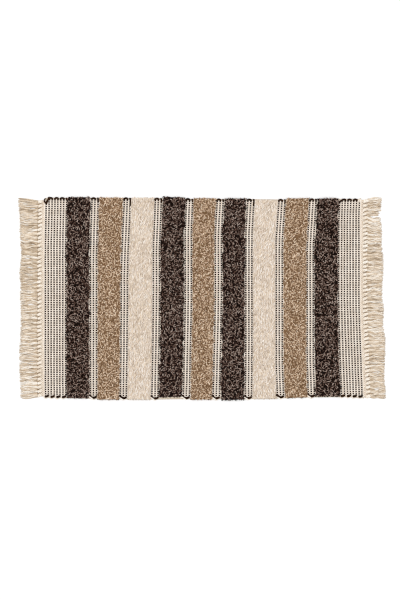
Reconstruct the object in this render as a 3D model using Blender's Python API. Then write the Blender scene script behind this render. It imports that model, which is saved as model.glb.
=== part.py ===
# Bath mat, hand-woven in cotton: a cream plain-weave ground with black picks in
# its flat bands, nine cross bands of tufted pile, and at each end a heading, a
# row of knots and a fringe of warp ends.
#
# Frame: metres. +X runs along the warp (the long side), +Y across the mat,
# +Z up. The origin is the centre of the bounding box's underside, so the mat
# lies on z = 0.

import math
import random

import bmesh
import bpy

MM = 0.001

# ---------------------------------------------------------------- dimensions
HALF_LENGTH = 452.5 * MM          # middle to the longest fringe tip
HALF_WIDTH = 248.0 * MM           # middle to the selvedge of the ground cloth
CLEAR = 0.3 * MM                  # gap that neighbouring solids keep

GROUND_HALF = 391.0 * MM          # middle to where the heading begins
WEB_Z = 1.0 * MM                  # ground left under a black pick
PILE_GROUND_Z = 3.0 * MM          # top of the ground where pile is tufted
PICK_Z = 4.0 * MM                 # top of a cream pick in a flat band

YARN_R = 1.4 * MM                 # black weft yarn
GROOVE = 1.9 * MM                 # half width of the channel it lies in
END_PITCH = 7.13 * MM             # from one black pick to the next, end bands
END_FIRST = 387.3 * MM            # outermost black pick
END_PICKS = 8
BAND_PITCH = 7.4 * MM             # the same in the narrow flat bands
BAND_PICKS = 3

PILE_TOP = 12.0 * MM              # pile height above the floor
PILE_OVER = 1.0 * MM              # how far the pile bulges past the selvedge
PILE_SETBACK = 10.5 * MM          # flat band's middle to the pile's edge
PILE_END = 333.6 * MM             # outer edge of the two outermost piles

HEAD_IN, HEAD_OUT = 391.3 * MM, 398.6 * MM
KNOT_X, KNOT_R, NECK_R = 401.7 * MM, 2.6 * MM, 1.5 * MM
FRINGE_IN = 404.8 * MM
TASSELS = 49
TASSEL_Z = 3.0 * MM

# The narrow flat bands, left to right: middle, and how far the picks of that
# band drift towards +X at the far selvedge and at the near selvedge, with the
# place (as a share of the half width) where that drift begins. The beat-up of
# hand weaving is never quite straight. The first and last rows are the end
# bands.
BANDS = (
    # middle    far   from   near   from
    (-362.0,    2.5,  0.50,   0.5, -0.80),
    (-268.6,    4.2,  0.42,   0.2, -0.50),
    (-192.3,    7.6,  0.22,  -2.5,  0.00),
    (-113.0,    5.0,  0.45,  -3.7,  0.00),
    (-34.2,     3.2,  0.65,  -5.0,  0.05),
    (40.1,      5.0,  0.62,  -5.4,  0.05),
    (115.5,     5.2,  0.62,  -1.0, -0.20),
    (190.6,     7.4,  0.55,   3.5, -0.62),
    (267.1,     7.4,  0.48,   3.2, -0.58),
    (362.0,     0.8,  0.70,   8.2,  0.00),
)
SAG = 4.0 * MM                    # the middle of the mat lies this far towards -Y
PILES = ("brown", "tan", "cream", "brown", "tan", "brown", "cream", "tan", "brown")

# stations along the width where every long piece has a corner, so that
# neighbours bend alike
STATIONS = (-1.0, -0.62, -0.2, 0.25, 0.62, 1.0)

COLOURS = {
    "ground_cotton": (0.80, 0.70, 0.60, 0.92),
    "black_weft": (0.012, 0.010, 0.010, 0.85),
    "brown_pile": (0.055, 0.034, 0.027, 0.95),
    "tan_pile": (0.37, 0.245, 0.150, 0.95),
    "cream_pile": (0.72, 0.60, 0.49, 0.95),
    "fringe_cotton": (0.66, 0.54, 0.40, 0.93),
}


# ------------------------------------------------------------------ geometry
def soft_ramp(s):
    """0 below s = 0, then rising smoothly to about 1 at s = 1."""
    return 0.0 if s <= 0.0 else 1.15 * s * s / (s + 0.15)


def drift_of_band(row, t):
    """Drift of one band's picks at t, the share of the half width."""
    _, far, far_from, near, near_from = row
    up = soft_ramp((t - far_from) / (1.0 - far_from))
    down = soft_ramp((near_from - t) / (near_from + 1.0))
    return (far * up + near * down) * MM


def drift_at_station(x, t):
    """Drift between bands is blended from the bands on either side."""
    xs = [row[0] * MM for row in BANDS]
    if x <= xs[0]:
        return drift_of_band(BANDS[0], t)
    for i in range(len(xs) - 1):
        if x <= xs[i + 1]:
            f = (x - xs[i]) / (xs[i + 1] - xs[i])
            f = f * f * (3.0 - 2.0 * f)
            return (drift_of_band(BANDS[i], t) * (1.0 - f)
                    + drift_of_band(BANDS[i + 1], t) * f)
    return drift_of_band(BANDS[-1], t)


def drift(x, y):
    """How far hand weaving carries the point (x, y) towards +X: straight from
    one station across the mat to the next."""
    t = max(-1.0, min(1.0, y / HALF_WIDTH))
    for a, b in zip(STATIONS, STATIONS[1:]):
        if t <= b:
            f = (t - a) / (b - a)
            return drift_at_station(x, a) * (1.0 - f) + drift_at_station(x, b) * f
    return drift_at_station(x, 1.0)


def warp(x, y):
    """A point of the straight design, moved to where it lies on the mat."""
    u = max(-1.0, min(1.0, x / GROUND_HALF))
    return x + drift(x, y), y + SAG * (u * u - 0.5)


# -------------------------------------------------------------- scene helpers
for old in list(bpy.data.objects):
    bpy.data.objects.remove(old, do_unlink=True)

MAT_PARTS = bpy.data.collections.new("bath_mat")
bpy.context.scene.collection.children.link(MAT_PARTS)


def material(name, key):
    mat = bpy.data.materials.new(name)
    mat.use_nodes = True
    bsdf = mat.node_tree.nodes["Principled BSDF"]
    r, g, b, rough = COLOURS[key]
    bsdf.inputs["Base Color"].default_value = (r, g, b, 1.0)
    bsdf.inputs["Roughness"].default_value = rough
    bsdf.inputs["Metallic"].default_value = 0.0
    return mat


def tube(name, points, radius, key, radii=None):
    """A yarn along a path, as a bevelled poly curve with filled caps."""
    curve = bpy.data.curves.new(name, "CURVE")
    curve.dimensions = "3D"
    curve.bevel_depth = radius
    curve.bevel_resolution = 2 if radii is None else 1
    curve.use_fill_caps = True
    spline = curve.splines.new("POLY")
    spline.points.add(len(points) - 1)
    for i, (x, y, z) in enumerate(points):
        spline.points[i].co = (x, y, z, 1.0)
        spline.points[i].radius = 1.0 if radii is None else radii[i]
    obj = bpy.data.objects.new(name, curve)
    MAT_PARTS.objects.link(obj)
    curve.materials.append(material(name, key))
    return obj


def plate(outline, half_thickness):
    """A flat outline in XY, thickened along Z, as a closed mesh."""
    curve = bpy.data.curves.new("outline", "CURVE")
    curve.dimensions = "2D"
    curve.fill_mode = "BOTH"
    curve.extrude = half_thickness
    spline = curve.splines.new("POLY")
    spline.points.add(len(outline) - 1)
    for i, (a, b) in enumerate(outline):
        spline.points[i].co = (a, b, 0.0, 1.0)
    spline.use_cyclic_u = True
    guide = bpy.data.objects.new("outline", curve)
    MAT_PARTS.objects.link(guide)
    bpy.context.view_layer.update()
    depsgraph = bpy.context.evaluated_depsgraph_get()
    mesh = bpy.data.meshes.new_from_object(guide.evaluated_get(depsgraph))
    bpy.data.objects.remove(guide, do_unlink=True)
    return mesh


def finish_mesh(name, bm, key):
    bmesh.ops.remove_doubles(bm, verts=bm.verts, dist=0.00001)
    bmesh.ops.recalc_face_normals(bm, faces=bm.faces)
    mesh = bpy.data.meshes.new(name)
    bm.to_mesh(mesh)
    bm.free()
    obj = bpy.data.objects.new(name, mesh)
    MAT_PARTS.objects.link(obj)
    mesh.materials.append(material(name, key))
    mesh.shade_smooth()
    mesh.set_sharp_from_angle(angle=math.radians(35.0))
    return obj


def across(name, profile, half_width, key):
    """A cross-section in XZ run across the mat, cut at the stations and bent
    as the weave is."""
    mesh = plate(profile, half_width)
    bm = bmesh.new()
    bm.from_mesh(mesh)
    bpy.data.meshes.remove(mesh)
    bmesh.ops.remove_doubles(bm, verts=bm.verts, dist=0.00001)
    # outline plane XY becomes XZ: local (a, b, c) -> (x, y, z) = (a, -c, b)
    for v in bm.verts:
        a, b, c = v.co
        v.co = (a, -c, b)
    for s in STATIONS[1:-1]:
        bmesh.ops.bisect_plane(
            bm, geom=bm.verts[:] + bm.edges[:] + bm.faces[:], dist=0.000001,
            plane_co=(0.0, s * half_width, 0.0), plane_no=(0.0, 1.0, 0.0))
    for v in bm.verts:
        x, y = warp(v.co.x, v.co.y)
        v.co.x, v.co.y = x, y
    return finish_mesh(name, bm, key)


# --------------------------------------------------------------- ground cloth
def picks_of(index):
    """X of each black pick in flat band `index`, in order along +X."""
    if index == 0:
        return [-END_FIRST + k * END_PITCH for k in range(END_PICKS)]
    if index == len(BANDS) - 1:
        return [END_FIRST - (END_PICKS - 1 - k) * END_PITCH for k in range(END_PICKS)]
    mid = BANDS[index][0] * MM
    return [mid + (k - (BAND_PICKS - 1) / 2.0) * BAND_PITCH for k in range(BAND_PICKS)]


def ground_profile():
    """Underside flat; above, a channel for each black pick with a rounded
    cream pick standing between one channel and the next."""
    pts = [(-GROUND_HALF, 0.0), (-GROUND_HALF, PILE_GROUND_Z)]
    for index in range(len(BANDS)):
        xs = picks_of(index)
        pts.append((xs[0] - GROOVE, PILE_GROUND_Z))
        for k, x in enumerate(xs):
            pts.append((x - GROOVE, WEB_Z))
            pts.append((x + GROOVE, WEB_Z))
            if k < len(xs) - 1:
                a, b = x + GROOVE, xs[k + 1] - GROOVE
                pts.append((a, PICK_Z - 0.8 * MM))
                pts.append((a + 0.6 * MM, PICK_Z))
                pts.append((b - 0.6 * MM, PICK_Z))
                pts.append((b, PICK_Z - 0.8 * MM))
        pts.append((xs[-1] + GROOVE, PILE_GROUND_Z))
    pts += [(GROUND_HALF, PILE_GROUND_Z), (GROUND_HALF, 0.0)]
    return pts


across("ground_weave", ground_profile(), HALF_WIDTH, "ground_cotton")


# ----------------------------------------------------------------- black weft
def serpentine(xs, way):
    """One yarn that runs across, turns outside the selvedge and comes back.
    way is 1 where its first pick runs from the near selvedge to the far one."""
    z = WEB_Z + CLEAR + YARN_R
    pts = []
    for k, x in enumerate(xs):
        for s in STATIONS:
            px, py = warp(x, way * s * HALF_WIDTH)
            pts.append((px, py, z))
        if k < len(xs) - 1:
            r = 0.5 * (xs[k + 1] - x)
            for j in range(1, 5):
                a = math.pi * j / 5.0
                px, py = warp(x + r - r * math.cos(a),
                              way * (HALF_WIDTH + 0.5 * MM + 0.95 * r * math.sin(a)))
                pts.append((px, py, z))
        way = -way
    return pts


for index in range(len(BANDS)):
    # the yarn of an end band enters at the far selvedge, the others at the near
    way = -1.0 if index in (0, len(BANDS) - 1) else 1.0
    tube("black_weft_%02d" % (index + 1), serpentine(picks_of(index), way), YARN_R,
         "black_weft")


# ----------------------------------------------------------------- pile bands
def pile_profile(x0, x1):
    """A pad with steep sides and a low crown, as dense pile stands."""
    base = PILE_GROUND_Z + CLEAR
    w = x1 - x0
    side = 5.0 * MM
    pts = [(x0, base), (x0 - 0.2 * MM, base + 0.45 * (PILE_TOP - base))]
    for j in range(4):
        a = 0.5 * math.pi * (j + 1) / 5.0
        pts.append((x0 + side * (1.0 - math.cos(a)),
                    PILE_TOP - 0.6 * MM - side * (1.0 - math.sin(a))))
    pts.append((0.5 * (x0 + x1) - 0.18 * w, PILE_TOP))
    right = [(x0 + x1 - px, pz) for px, pz in reversed(pts)]
    return pts + right


flat_mid = [row[0] * MM for row in BANDS]
counts = {}
for i, colour in enumerate(PILES):
    x0 = -PILE_END if i == 0 else flat_mid[i] + PILE_SETBACK
    x1 = PILE_END if i == len(PILES) - 1 else flat_mid[i + 1] - PILE_SETBACK
    counts[colour] = counts.get(colour, 0) + 1
    across("pile_%s_%d" % (colour, counts[colour]), pile_profile(x0, x1),
           HALF_WIDTH + PILE_OVER, colour + "_pile")


# ------------------------------------------------- headings, knots and fringes
def heading_profile(sign):
    """Three cream picks packed side by side, which lock the weave."""
    n = 3
    w = (HEAD_OUT - HEAD_IN) / n
    pts = [(HEAD_IN, 0.0)]
    for k in range(n):
        a = HEAD_IN + k * w
        pts += [(a, PICK_Z - 1.0 * MM), (a + 0.28 * w, PICK_Z), (a + 0.72 * w, PICK_Z)]
    pts += [(HEAD_OUT, PICK_Z - 1.0 * MM), (HEAD_OUT, 0.0)]
    return [(sign * a, b) for a, b in pts]


def knot_row(sign):
    """The knots that bind the warp ends, touching each other in a row."""
    pitch = 2.0 * HALF_WIDTH / TASSELS
    pts, radii = [], []
    for k in range(TASSELS):
        y = -HALF_WIDTH + (k + 0.5) * pitch
        for shift, r in ((-0.5, NECK_R), (-0.12, KNOT_R), (0.12, KNOT_R)):
            px, py = warp(sign * KNOT_X, y + shift * pitch)
            pts.append((px, py, KNOT_R))
            radii.append(r / KNOT_R)
    px, py = warp(sign * KNOT_X, HALF_WIDTH)
    pts.append((px, py, KNOT_R))
    radii.append(NECK_R / KNOT_R)
    return pts, radii


def fringe_outline(sign):
    """Tassels side by side, joined at the knots, each a little different in
    length; one reaches the full length of the mat."""
    rng = random.Random(11 if sign < 0 else 23)
    pitch = 2.0 * HALF_WIDTH / TASSELS
    root = FRINGE_IN + 1.4 * MM
    longest = 30 if sign < 0 else 9
    pts = []
    for k in range(TASSELS):
        mid = -HALF_WIDTH + (k + 0.5) * pitch
        bend = rng.uniform(-0.6, 0.6) * MM
        tip = HALF_LENGTH - rng.uniform(0.6, 3.6) * MM
        if sign > 0 and k > 16:
            tip -= 4.0 * MM
        w = pitch - 1.7 * MM
        if k == longest:
            tip = HALF_LENGTH
        tassel = [(root, mid - 0.30 * pitch), (root + 12.0 * MM, mid - 0.5 * w + bend),
                  (tip - 1.5 * MM, mid - 0.44 * w - bend), (tip, mid + 0.10 * w - bend),
                  (tip - 2.5 * MM, mid + 0.44 * w - bend),
                  (root + 12.0 * MM, mid + 0.5 * w + bend), (root, mid + 0.30 * pitch)]
        for a, b in tassel:
            x, y = warp(sign * a, b)
            # the drift fades along the tassel, so that its tip stays in reach
            fade = 1.0 - min(1.0, max(0.0, (a - root) / (HALF_LENGTH - root)))
            x = sign * a + (x - sign * a) * fade
            pts.append((x, y))
    for y in (HALF_WIDTH - 0.2 * pitch, -HALF_WIDTH + 0.2 * pitch):
        pts.append(warp(sign * FRINGE_IN, y))
        if y > 0.0:
            for s in (0.62, 0.25, -0.2, -0.62):
                pts.append(warp(sign * FRINGE_IN, s * HALF_WIDTH))
    return pts


for sign, side in ((-1.0, "left"), (1.0, "right")):
    across("heading_" + side, heading_profile(sign), HALF_WIDTH, "ground_cotton")
    pts, radii = knot_row(sign)
    tube("knots_" + side, pts, KNOT_R, "fringe_cotton", radii)

    mesh = plate(fringe_outline(sign), 0.5 * TASSEL_Z)
    bm = bmesh.new()
    bm.from_mesh(mesh)
    bpy.data.meshes.remove(mesh)
    for v in bm.verts:
        v.co.z += 0.5 * TASSEL_Z
    finish_mesh("fringe_" + side, bm, "fringe_cotton")
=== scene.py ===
# Bath mat, visual model: every yarn of the flat bands woven over and under, a
# tufted pile on a base pad for each band, headings, knots and fringe.
# Lengths below are in millimetres until a mesh is written, in metres.
import math

import bpy
import numpy as np
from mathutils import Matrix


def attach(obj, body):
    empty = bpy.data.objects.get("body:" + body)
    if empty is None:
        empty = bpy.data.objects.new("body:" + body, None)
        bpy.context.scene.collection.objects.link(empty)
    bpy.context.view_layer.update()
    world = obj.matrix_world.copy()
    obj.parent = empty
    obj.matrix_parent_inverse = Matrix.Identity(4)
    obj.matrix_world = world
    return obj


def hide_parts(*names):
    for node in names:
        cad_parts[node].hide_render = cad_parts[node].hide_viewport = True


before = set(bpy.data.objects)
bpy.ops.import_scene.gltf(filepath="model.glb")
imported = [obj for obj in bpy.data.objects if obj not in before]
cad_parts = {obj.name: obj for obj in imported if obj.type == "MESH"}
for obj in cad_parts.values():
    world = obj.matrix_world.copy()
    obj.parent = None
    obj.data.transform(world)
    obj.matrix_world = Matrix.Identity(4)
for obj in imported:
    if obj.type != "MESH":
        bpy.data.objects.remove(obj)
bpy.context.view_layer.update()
MM = 0.001
TAU = 2.0 * math.pi

# ------------------------------------------------------------------ the weave
HALF_W = 248.0                     # selvedge of the ground
WARPS = 177                        # warp ends across the mat
WARP_MID, WARP_HALF = -0.8, 243.6  # middle and half width of the warp
# middle of each flat band, and the drift of its picks towards +X at the far
# and at the near selvedge, with where each drift begins, as in the CAD
BANDS = np.array([
    (-362.0, 2.5, 0.50, 0.5, -0.80),
    (-268.6, 4.2, 0.42, 0.2, -0.50),
    (-192.3, 7.6, 0.22, -2.5, 0.00),
    (-113.0, 5.0, 0.45, -3.7, 0.00),
    (-34.2, 3.2, 0.65, -5.0, 0.05),
    (40.1, 5.0, 0.62, -5.4, 0.05),
    (115.5, 5.2, 0.62, -1.0, -0.20),
    (190.6, 7.4, 0.55, 3.5, -0.62),
    (267.1, 7.4, 0.48, 3.2, -0.58),
    (362.0, 1.9, 0.78, 8.2, 0.00),
])
PILES = ("brown", "tan", "cream", "brown", "tan", "brown", "cream", "tan", "brown")
END_FIRST, END_PITCH, END_PICKS = 387.3, 7.13, 8
BAND_PITCH, BAND_PICKS = 7.4, 3
SAG = 4.0
CLOTH_Z = 1.95                     # middle of the woven cloth
# how far the far and near side edges wander
SIDE_X = (-385.0, -350.0, -250.0, -110.0, -30.0, 40.0, 110.0, 190.0, 268.0, 345.0, 380.0)
SIDE_FAR = (0.8, 0.8, 2.6, 2.6, 1.0, 0.5, 0.4, -1.4, -0.8, -1.8, -2.9)
SIDE_NEAR = (0.4, -0.2, -0.6, -0.8, 0.5, 0.0, 0.1, 1.5, 3.0, 2.6, 0.4)


def soft_ramp(s):
    s = np.maximum(s, 0.0)
    return 1.15 * s * s / (s + 0.15)


def drift(x, y):
    t = np.clip(y / HALF_W, -1.0, 1.0)
    at = [b[1] * soft_ramp((t - b[2]) / (1.0 - b[2]))
          + b[3] * soft_ramp((b[4] - t) / (b[4] + 1.0)) for b in BANDS]
    out = np.where(x <= BANDS[0, 0], at[0], at[-1])
    for i in range(len(BANDS) - 1):
        a, b = BANDS[i, 0], BANDS[i + 1, 0]
        f = np.clip((x - a) / (b - a), 0.0, 1.0)
        f = f * f * (3.0 - 2.0 * f)
        inside = (x > a) & (x <= b)
        out = np.where(inside, at[i] * (1.0 - f) + at[i + 1] * f, out)
    return out


def lay(P):
    """Points of the straight design, moved to where they lie on the mat."""
    x, y = P[..., 0], P[..., 1]
    u = np.clip(x / 391.0, -1.0, 1.0)
    fade = 1.0 - np.clip((np.abs(x) - 405.0) / 48.0, 0.0, 1.0)
    # the corners pull in towards the knots
    near = np.clip((np.abs(x) - 382.0) / 16.0, 0.0, 1.0)
    near = near * near * (3.0 - 2.0 * near)
    pull = np.where(y > 0, np.where(x < 0, 3.2, -3.0), np.where(x < 0, 0.3, -3.4))
    y = y - pull * near * np.sign(y) * np.clip((np.abs(y) - 150.0) / 95.0, 0.0, 1.2) ** 2
    # the two side edges are not quite straight
    up = np.interp(x, SIDE_X, SIDE_FAR)
    lo = np.interp(x, SIDE_X, SIDE_NEAR)
    y = y + lo + (up - lo) * np.clip(y / 496.0 + 0.5, 0.0, 1.0)
    return np.stack([x + drift(x, y) * fade, y + SAG * (u * u - 0.5), P[..., 2]], -1)


def wobble(x, seed, step):
    """Smooth 1D noise of about +-1, with a new value every `step`."""
    table = np.random.default_rng(seed).uniform(-1, 1, 4096)
    s = np.asarray(x, float) / step + 2000.0
    i = np.floor(s).astype(int)
    f = s - i
    f = f * f * (3 - 2 * f)
    return table[i % 4096] * (1 - f) + table[(i + 1) % 4096] * f


def wobble2(x, y, seed, step):
    """Smooth 2D noise of about +-1."""
    n = 256
    table = np.random.default_rng(seed).uniform(-1, 1, (n, n))
    s, t = np.asarray(x, float) / step + 97.0, np.asarray(y, float) / step + 131.0
    i, j = np.floor(s).astype(int), np.floor(t).astype(int)
    f, g = s - i, t - j
    f, g = f * f * (3 - 2 * f), g * g * (3 - 2 * g)
    a = table[i % n, j % n] * (1 - f) + table[(i + 1) % n, j % n] * f
    b = table[i % n, (j + 1) % n] * (1 - f) + table[(i + 1) % n, (j + 1) % n] * f
    return a * (1 - g) + b * g


# ---------------------------------------------------------------- mesh makers
def unit(v):
    return v / np.maximum(np.linalg.norm(v, axis=-1, keepdims=True), 1e-9)


class Yarns:
    """Collects strands and writes them as one mesh of closed tubes."""

    def __init__(self):
        self.sets = []

    def add(self, P, ra, rb=None, sides=6, tone=0.5, turn=False, round_ends=True):
        """P is (strands, rings, 3). ra and rb are the half widths of the section
        along and across the cloth. turn carries the frame along the strand,
        for paths that stand up."""
        P = np.asarray(P, float)
        if P.ndim == 2:
            P = P[None]
        N, R, _ = P.shape
        ra = np.broadcast_to(np.asarray(ra, float), (N, R)).copy()
        rb = ra.copy() if rb is None else np.broadcast_to(np.asarray(rb, float), (N, R)).copy()
        if round_ends:
            for k, s in ((0, 0.55), (-1, 0.55)):
                ra[:, k] *= s
                rb[:, k] *= s
        self.sets.append((P, ra, rb, sides, np.broadcast_to(np.asarray(tone, float), (N, R)), turn))

    @staticmethod
    def frames(P, turn):
        T = np.gradient(P, axis=1)
        T = unit(T)
        if not turn:
            side = unit(np.cross(np.broadcast_to([0.0, 0.0, 1.0], T.shape), T))
            return side, np.cross(T, side)
        N, R, _ = P.shape
        side = np.empty_like(P)
        s = np.cross(np.broadcast_to([0.0, 0.0, 1.0], (N, 3)), T[:, R // 2])
        weak = np.linalg.norm(s, axis=1) < 1e-3
        s[weak] = (1.0, 0.0, 0.0)
        s = unit(s)
        side[:, R // 2] = s
        for way in (1, -1):
            c = s
            for r in range(R // 2 + way, R if way > 0 else -1, way):
                c = unit(c - (c * T[:, r]).sum(1, keepdims=True) * T[:, r])
                side[:, r] = c
        return side, np.cross(T, side)

    def mesh(self, name):
        cells = sum(p[0].shape[0] for p in self.sets)
        V, U, Yn, F4, tones, rand = [], [], [], [], [], []
        caps = []
        base = done = 0
        # atlas: one cell a strand, tall enough for its length
        long = np.mean([p[0].shape[1] for p in self.sets])
        around = np.mean([p[3] for p in self.sets])
        cols = int(max(1, min(cells, round(math.sqrt(cells * max(long / around, 1.0) / 1.0)))))
        rows = int(math.ceil(cells / cols))
        rng = np.random.default_rng(len(name) * 7 + cells)
        order = []
        for P, ra, rb, S, tone, turn in self.sets:
            N, R, _ = P.shape
            side, up = self.frames(P, turn)
            ang = np.arange(S) * TAU / S
            c, s = np.cos(ang), np.sin(ang)
            X = (P[:, :, None] + side[:, :, None] * (ra[:, :, None] * c)[..., None]
                 + up[:, :, None] * (rb[:, :, None] * s)[..., None])
            V.append(X.reshape(-1, 3))
            tones.append(np.repeat(tone.reshape(-1), S))
            rand.append(np.repeat(rng.uniform(0, 1, N), R * S))
            n = np.arange(N)[:, None, None]
            r = np.arange(R - 1)[None, :, None]
            k = np.arange(S)[None, None, :]
            k1 = (k + 1) % S
            vid = lambda rr, kk: base + (n * R + rr) * S + kk
            quads = np.stack([np.broadcast_to(vid(r, k), (N, R - 1, S)),
                              np.broadcast_to(vid(r, k1), (N, R - 1, S)),
                              np.broadcast_to(vid(r + 1, k1), (N, R - 1, S)),
                              np.broadcast_to(vid(r + 1, k), (N, R - 1, S))], -1)
            F4.append(quads.reshape(-1, 4))
            # the bake's map
            cell = done + np.arange(N)
            cx, cy = (cell % cols)[:, None, None], (cell // cols)[:, None, None]
            du = lambda kk: (cx + 0.12 + 0.76 * kk / S) / cols
            dv = lambda rr: (cy + 0.06 + 0.78 * rr / (R - 1)) / rows
            length = np.concatenate([np.zeros((N, 1)), np.cumsum(
                np.linalg.norm(np.diff(P, axis=1), axis=2), axis=1)], 1)
            ones = np.ones((N, R - 1, S))
            uv = np.stack([np.stack([du(k) * ones, dv(r) * ones], -1),
                           np.stack([du(k + 1) * ones, dv(r) * ones], -1),
                           np.stack([du(k + 1) * ones, dv(r + 1) * ones], -1),
                           np.stack([du(k) * ones, dv(r + 1) * ones], -1)], -2)
            U.append(uv.reshape(-1, 2))
            l0 = length[:, :-1, None] * ones
            l1 = length[:, 1:, None] * ones
            ku, ku1 = (k / S) * ones, ((k + 1) / S) * ones
            yn = np.stack([np.stack([ku, l0], -1), np.stack([ku1, l0], -1),
                           np.stack([ku1, l1], -1), np.stack([ku, l1], -1)], -2)
            Yn.append(yn.reshape(-1, 2))
            # caps
            start = (base + (np.arange(N)[:, None] * R) * S + np.arange(S)[::-1][None])
            end = (base + (np.arange(N)[:, None] * R + R - 1) * S + np.arange(S)[None])
            for idx, cu in ((start, 0.30), (end, 0.70)):
                a = np.arange(S) * TAU / S
                uu = (cx[:, 0] + cu + 0.14 * np.cos(a)[None]) / cols
                vv = (cy[:, 0] + 0.92 + 0.05 * np.sin(a)[None]) / rows
                caps.append((idx, np.stack([uu, vv], -1), S,
                             np.stack([np.full((N, S), 0.5), np.zeros((N, S))], -1)))
            base += N * R * S
            done += N
        V = np.concatenate(V) * MM
        quads = np.concatenate(F4)
        loops = [quads.reshape(-1)]
        starts = [np.arange(len(quads)) * 4]
        at = len(quads) * 4
        uvs, yarn = [np.concatenate(U)], [np.concatenate(Yn)]
        for idx, uv, S, yn in caps:
            loops.append(idx.reshape(-1))
            starts.append(at + np.arange(len(idx)) * S)
            at += idx.size
            uvs.append(uv.reshape(-1, 2))
            yarn.append(yn.reshape(-1, 2))
        me = bpy.data.meshes.new(name)
        loops, starts = np.concatenate(loops), np.concatenate(starts)
        me.vertices.add(len(V))
        me.vertices.foreach_set("co", V.astype(np.float32).ravel())
        me.loops.add(len(loops))
        me.loops.foreach_set("vertex_index", loops.astype(np.int32))
        me.polygons.add(len(starts))
        me.polygons.foreach_set("loop_start", starts.astype(np.int32))
        me.update(calc_edges=True)
        me.uv_layers.new(name="OFBake").uv.foreach_set(
            "vector", np.concatenate(uvs).astype(np.float32).ravel())
        me.uv_layers.new(name="Yarn").uv.foreach_set(
            "vector", np.concatenate(yarn).astype(np.float32).ravel())
        me.attributes.new("tone", "FLOAT", "POINT").data.foreach_set(
            "value", np.concatenate(tones).astype(np.float32))
        me.attributes.new("strand", "FLOAT", "POINT").data.foreach_set(
            "value", np.concatenate(rand).astype(np.float32))
        me.shade_smooth()
        return me

    def piece(self, name, material, node=None):
        me = self.mesh(name)
        ob = bpy.data.objects.new(name, me)
        bpy.context.scene.collection.objects.link(ob)
        me.materials.append(material)
        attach(ob, "root")
        if node:
            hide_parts(*([node] if isinstance(node, str) else node))
        return ob


def grid_piece(name, X, Y, Z, material, thick=None, node=None, tone=None):
    """A sheet from a grid of points; thick gives it a closed underside that far
    below, as an array or a number."""
    n, m = X.shape
    top = np.stack([X, Y, Z], -1).reshape(-1, 3)
    i, j = np.meshgrid(np.arange(n - 1), np.arange(m - 1), indexing="ij")
    a = i * m + j
    faces = np.stack([a, a + m, a + m + 1, a + 1], -1).reshape(-1, 4)
    V = top
    u = (np.arange(n) / (n - 1))[:, None] + np.zeros((1, m))
    v = (np.arange(m) / (m - 1))[None] + np.zeros((n, 1))
    UV = np.stack([u * 0.98 + 0.01, v * 0.46 + 0.02], -1).reshape(-1, 2)
    if thick is not None:
        low = top.copy()
        low[:, 2] = top[:, 2] - np.broadcast_to(thick, X.shape).reshape(-1)
        N = len(top)
        under = faces[:, ::-1] + N
        rim = ([(r, 0) for r in range(n - 1)] + [(n - 1, c) for c in range(m - 1)]
               + [(r, m - 1) for r in range(n - 1, 0, -1)] + [(0, c) for c in range(m - 1, 0, -1)])
        rim = np.array([r * m + c for r, c in rim])
        nxt = np.roll(rim, -1)
        sides = np.stack([nxt, rim, rim + N, nxt + N], -1)
        faces = np.concatenate([faces, under, sides])
        V = np.concatenate([top, low])
        UVl = UV.copy()
        UVl[:, 1] += 0.5
        UV = np.concatenate([UV, UVl])
    me = bpy.data.meshes.new(name)
    me.vertices.add(len(V))
    me.vertices.foreach_set("co", (V * MM).astype(np.float32).ravel())
    me.loops.add(faces.size)
    me.loops.foreach_set("vertex_index", faces.astype(np.int32).ravel())
    me.polygons.add(len(faces))
    me.polygons.foreach_set("loop_start", (np.arange(len(faces)) * 4).astype(np.int32))
    me.update(calc_edges=True)
    me.uv_layers.new(name="OFBake").uv.foreach_set(
        "vector", UV[faces.ravel()].astype(np.float32).ravel())
    if tone is not None:
        t = tone.reshape(-1)
        if thick is not None:
            t = np.concatenate([t, t])
        me.attributes.new("tone", "FLOAT", "POINT").data.foreach_set("value", t.astype(np.float32))
    me.shade_smooth()
    ob = bpy.data.objects.new(name, me)
    bpy.context.scene.collection.objects.link(ob)
    me.materials.append(material)
    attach(ob, "root")
    if node:
        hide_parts(node)
    return ob


# ------------------------------------------------------------------ materials
def srgb(r, g, b):
    def lin(c):
        c /= 255.0
        return c / 12.92 if c <= 0.04045 else ((c + 0.055) / 1.055) ** 2.4
    return (lin(r), lin(g), lin(b), 1.0)


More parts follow.
